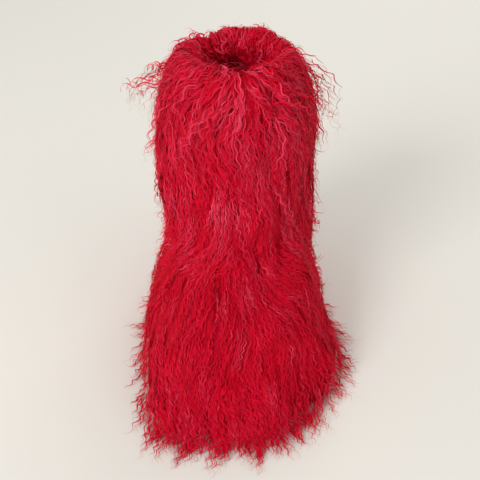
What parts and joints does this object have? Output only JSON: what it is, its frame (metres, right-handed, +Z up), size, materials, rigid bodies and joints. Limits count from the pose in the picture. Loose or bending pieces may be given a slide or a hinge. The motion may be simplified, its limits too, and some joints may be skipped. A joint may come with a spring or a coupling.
{
  "type": "fur boot",
  "caption": "Mid-calf boot in long curly wool over a hollow hide upper, with a moulded rubber sole and a footbed, for the left foot.",
  "frame": {"origin": "on the floor under the axis of the shaft, on the flat tread of the heel", "axes": "+Z up along the shaft, -Y towards the toe, +X towards the outer side of the left foot"},
  "size_m": [0.2651, 0.4044, 0.334],
  "materials": {
    "rubber": "matt moulded black rubber, fine grain",
    "footbed": "dark red short plush",
    "hide": "dark red suede with a short nap",
    "wool": "long crimped locks, dyed red, soft sheen"
  },
  "bodies": {
    "root": {"outsole": "rubber", "insole": "footbed", "upper": "hide", "fur_foot": "wool", "fur_shaft": "wool", "fur_collar": "wool"}
  },
  "joints": []
}
